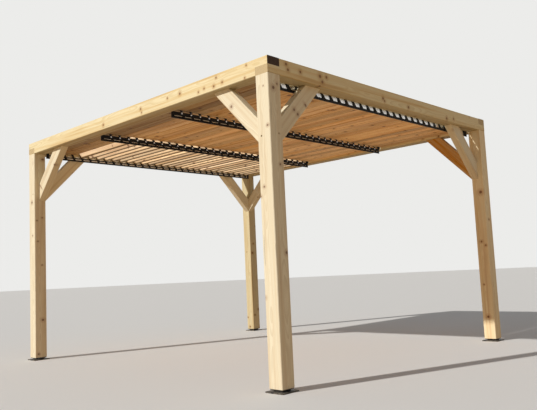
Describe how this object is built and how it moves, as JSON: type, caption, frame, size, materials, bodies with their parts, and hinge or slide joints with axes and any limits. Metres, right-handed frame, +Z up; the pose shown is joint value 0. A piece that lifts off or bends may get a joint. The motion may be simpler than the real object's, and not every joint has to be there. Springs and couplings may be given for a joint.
{
  "type": "louvred timber pergola",
  "caption": "Free-standing square-post timber pergola with braced corners and a louvred roof in three bays, the back bay's slats turning together on end pins.",
  "frame": {"origin": "middle of the footprint, on the ground under the base plates", "axes": "+X to the right along the front beam, +Y from front to back, +Z up"},
  "size_m": [3.245, 3.58, 2.245],
  "materials": {
    "timber": "planed softwood, pale honey, small knots",
    "slat_timber": "planed softwood boards",
    "black_steel": "matt black coating",
    "white_nylon": "dull off-white plastic"
  },
  "bodies": {
    "frame": {"foot_front_left": "black_steel", "foot_front_right": "black_steel", "foot_back_right": "black_steel", "foot_back_left": "black_steel", "post_front_left": "timber", "post_front_right": "timber", "post_back_right": "timber", "post_back_left": "timber", "beam_front": "timber", "beam_back": "timber", "beam_left": "timber", "beam_right": "timber", "brace_front_left_x": "timber", "brace_front_left_y": "timber", "brace_front_right_x": "timber", "brace_front_right_y": "timber", "brace_back_right_x": "timber", "brace_back_right_y": "timber", "brace_back_left_x": "timber", "brace_back_left_y": "timber", "louvre_rail_1": "black_steel", "louvre_rail_2": "black_steel", "louvre_rail_3": "black_steel", "louvre_rail_4": "black_steel", "bearing_strip_1": "white_nylon", "bearing_strip_2": "white_nylon", "bearing_strip_3": "white_nylon", "bearing_strip_4": "white_nylon", "side_battens": "slat_timber", "louvres_front_bay": "slat_timber", "louvres_middle_bay": "slat_timber", "louvre_01": "slat_timber", "louvre_02": "slat_timber", "louvre_03": "slat_timber"},
    "louvre_04": {"louvre_04": "slat_timber"},
    "louvre_05": {"louvre_05": "slat_timber"},
    "louvre_06": {"louvre_06": "slat_timber"},
    "louvre_07": {"louvre_07": "slat_timber"},
    "louvre_08": {"louvre_08": "slat_timber"},
    "louvre_09": {"louvre_09": "slat_timber"},
    "louvre_10": {"louvre_10": "slat_timber"},
    "louvre_11": {"louvre_11": "slat_timber"},
    "louvre_12": {"louvre_12": "slat_timber"},
    "louvre_13": {"louvre_13": "slat_timber"},
    "louvre_14": {"louvre_14": "slat_timber"},
    "louvre_15": {"louvre_15": "slat_timber"},
    "louvre_16": {"louvre_16": "slat_timber"},
    "louvre_17": {"louvre_17": "slat_timber"},
    "louvre_18": {"louvre_18": "slat_timber"},
    "louvre_19": {"louvre_19": "slat_timber"},
    "louvre_20": {"louvre_20": "slat_timber"},
    "louvre_21": {"louvre_21": "slat_timber"},
    "louvre_22": {"louvre_22": "slat_timber"},
    "louvre_23": {"louvre_23": "slat_timber"},
    "louvre_24": {"louvre_24": "slat_timber"},
    "louvre_25": {"louvre_25": "slat_timber"},
    "louvre_26": {"louvre_26": "slat_timber"},
    "louvre_27": {"louvre_27": "slat_timber"},
    "louvre_28": {"louvre_28": "slat_timber"},
    "louvre_29": {"louvre_29": "slat_timber"}
  },
  "joints": [
    {"name": "louvre_04_tilt", "type": "hinge", "parent": "frame", "child": "louvre_04", "pos_m": [-1.089, 1.08533, 2.161], "axis": [0, -1, 0], "range_deg": [-122, 13]},
    {"name": "louvre_05_tilt", "type": "hinge", "parent": "frame", "child": "louvre_05", "pos_m": [-0.99, 1.08533, 2.161], "axis": [0, -1, 0], "range_deg": [-122, 13]},
    {"name": "louvre_06_tilt", "type": "hinge", "parent": "frame", "child": "louvre_06", "pos_m": [-0.891, 1.08533, 2.161], "axis": [0, -1, 0], "range_deg": [-122, 13]},
    {"name": "louvre_07_tilt", "type": "hinge", "parent": "frame", "child": "louvre_07", "pos_m": [-0.792, 1.08533, 2.161], "axis": [0, -1, 0], "range_deg": [-122, 13]},
    {"name": "louvre_08_tilt", "type": "hinge", "parent": "frame", "child": "louvre_08", "pos_m": [-0.693, 1.08533, 2.161], "axis": [0, -1, 0], "range_deg": [-122, 13]},
    {"name": "louvre_09_tilt", "type": "hinge", "parent": "frame", "child": "louvre_09", "pos_m": [-0.594, 1.08533, 2.161], "axis": [0, -1, 0], "range_deg": [-122, 13]},
    {"name": "louvre_10_tilt", "type": "hinge", "parent": "frame", "child": "louvre_10", "pos_m": [-0.495, 1.08533, 2.161], "axis": [0, -1, 0], "range_deg": [-122, 13]},
    {"name": "louvre_11_tilt", "type": "hinge", "parent": "frame", "child": "louvre_11", "pos_m": [-0.396, 1.08533, 2.161], "axis": [0, -1, 0], "range_deg": [-122, 13]},
    {"name": "louvre_12_tilt", "type": "hinge", "parent": "frame", "child": "louvre_12", "pos_m": [-0.297, 1.08533, 2.161], "axis": [0, -1, 0], "range_deg": [-122, 13]},
    {"name": "louvre_13_tilt", "type": "hinge", "parent": "frame", "child": "louvre_13", "pos_m": [-0.198, 1.08533, 2.161], "axis": [0, -1, 0], "range_deg": [-122, 13]},
    {"name": "louvre_14_tilt", "type": "hinge", "parent": "frame", "child": "louvre_14", "pos_m": [-0.099, 1.08533, 2.161], "axis": [0, -1, 0], "range_deg": [-122, 13]},
    {"name": "louvre_15_tilt", "type": "hinge", "parent": "frame", "child": "louvre_15", "pos_m": [0, 1.08533, 2.161], "axis": [0, -1, 0], "range_deg": [-122, 13]},
    {"name": "louvre_16_tilt", "type": "hinge", "parent": "frame", "child": "louvre_16", "pos_m": [0.099, 1.08533, 2.161], "axis": [0, -1, 0], "range_deg": [-122, 13]},
    {"name": "louvre_17_tilt", "type": "hinge", "parent": "frame", "child": "louvre_17", "pos_m": [0.198, 1.08533, 2.161], "axis": [0, -1, 0], "range_deg": [-122, 13]},
    {"name": "louvre_18_tilt", "type": "hinge", "parent": "frame", "child": "louvre_18", "pos_m": [0.297, 1.08533, 2.161], "axis": [0, -1, 0], "range_deg": [-122, 13]},
    {"name": "louvre_19_tilt", "type": "hinge", "parent": "frame", "child": "louvre_19", "pos_m": [0.396, 1.08533, 2.161], "axis": [0, -1, 0], "range_deg": [-122, 13]},
    {"name": "louvre_20_tilt", "type": "hinge", "parent": "frame", "child": "louvre_20", "pos_m": [0.495, 1.08533, 2.161], "axis": [0, -1, 0], "range_deg": [-122, 13]},
    {"name": "louvre_21_tilt", "type": "hinge", "parent": "frame", "child": "louvre_21", "pos_m": [0.594, 1.08533, 2.161], "axis": [0, -1, 0], "range_deg": [-122, 13]},
    {"name": "louvre_22_tilt", "type": "hinge", "parent": "frame", "child": "louvre_22", "pos_m": [0.693, 1.08533, 2.161], "axis": [0, -1, 0], "range_deg": [-122, 13]},
    {"name": "louvre_23_tilt", "type": "hinge", "parent": "frame", "child": "louvre_23", "pos_m": [0.792, 1.08533, 2.161], "axis": [0, -1, 0], "range_deg": [-122, 13]},
    {"name": "louvre_24_tilt", "type": "hinge", "parent": "frame", "child": "louvre_24", "pos_m": [0.891, 1.08533, 2.161], "axis": [0, -1, 0], "range_deg": [-122, 13]},
    {"name": "louvre_25_tilt", "type": "hinge", "parent": "frame", "child": "louvre_25", "pos_m": [0.99, 1.08533, 2.161], "axis": [0, -1, 0], "range_deg": [-122, 13]},
    {"name": "louvre_26_tilt", "type": "hinge", "parent": "frame", "child": "louvre_26", "pos_m": [1.089, 1.08533, 2.161], "axis": [0, -1, 0], "range_deg": [-122, 13]},
    {"name": "louvre_27_tilt", "type": "hinge", "parent": "frame", "child": "louvre_27", "pos_m": [1.188, 1.08533, 2.161], "axis": [0, -1, 0], "range_deg": [-122, 13]},
    {"name": "louvre_28_tilt", "type": "hinge", "parent": "frame", "child": "louvre_28", "pos_m": [1.287, 1.08533, 2.161], "axis": [0, -1, 0], "range_deg": [-122, 13]},
    {"name": "louvre_29_tilt", "type": "hinge", "parent": "frame", "child": "louvre_29", "pos_m": [1.386, 1.08533, 2.161], "axis": [0, -1, 0], "range_deg": [-122, 13]}
  ],
  "couplings": [
    {"joint": "louvre_05_tilt", "follows": "louvre_04_tilt", "ratio": 1},
    {"joint": "louvre_06_tilt", "follows": "louvre_04_tilt", "ratio": 1},
    {"joint": "louvre_07_tilt", "follows": "louvre_04_tilt", "ratio": 1},
    {"joint": "louvre_08_tilt", "follows": "louvre_04_tilt", "ratio": 1},
    {"joint": "louvre_09_tilt", "follows": "louvre_04_tilt", "ratio": 1},
    {"joint": "louvre_10_tilt", "follows": "louvre_04_tilt", "ratio": 1},
    {"joint": "louvre_11_tilt", "follows": "louvre_04_tilt", "ratio": 1},
    {"joint": "louvre_12_tilt", "follows": "louvre_04_tilt", "ratio": 1},
    {"joint": "louvre_13_tilt", "follows": "louvre_04_tilt", "ratio": 1},
    {"joint": "louvre_14_tilt", "follows": "louvre_04_tilt", "ratio": 1},
    {"joint": "louvre_15_tilt", "follows": "louvre_04_tilt", "ratio": 1},
    {"joint": "louvre_16_tilt", "follows": "louvre_04_tilt", "ratio": 1},
    {"joint": "louvre_17_tilt", "follows": "louvre_04_tilt", "ratio": 1},
    {"joint": "louvre_18_tilt", "follows": "louvre_04_tilt", "ratio": 1},
    {"joint": "louvre_19_tilt", "follows": "louvre_04_tilt", "ratio": 1},
    {"joint": "louvre_20_tilt", "follows": "louvre_04_tilt", "ratio": 1},
    {"joint": "louvre_21_tilt", "follows": "louvre_04_tilt", "ratio": 1},
    {"joint": "louvre_22_tilt", "follows": "louvre_04_tilt", "ratio": 1},
    {"joint": "louvre_23_tilt", "follows": "louvre_04_tilt", "ratio": 1},
    {"joint": "louvre_24_tilt", "follows": "louvre_04_tilt", "ratio": 1},
    {"joint": "louvre_25_tilt", "follows": "louvre_04_tilt", "ratio": 1},
    {"joint": "louvre_26_tilt", "follows": "louvre_04_tilt", "ratio": 1},
    {"joint": "louvre_27_tilt", "follows": "louvre_04_tilt", "ratio": 1},
    {"joint": "louvre_28_tilt", "follows": "louvre_04_tilt", "ratio": 1},
    {"joint": "louvre_29_tilt", "follows": "louvre_04_tilt", "ratio": 1}
  ]
}
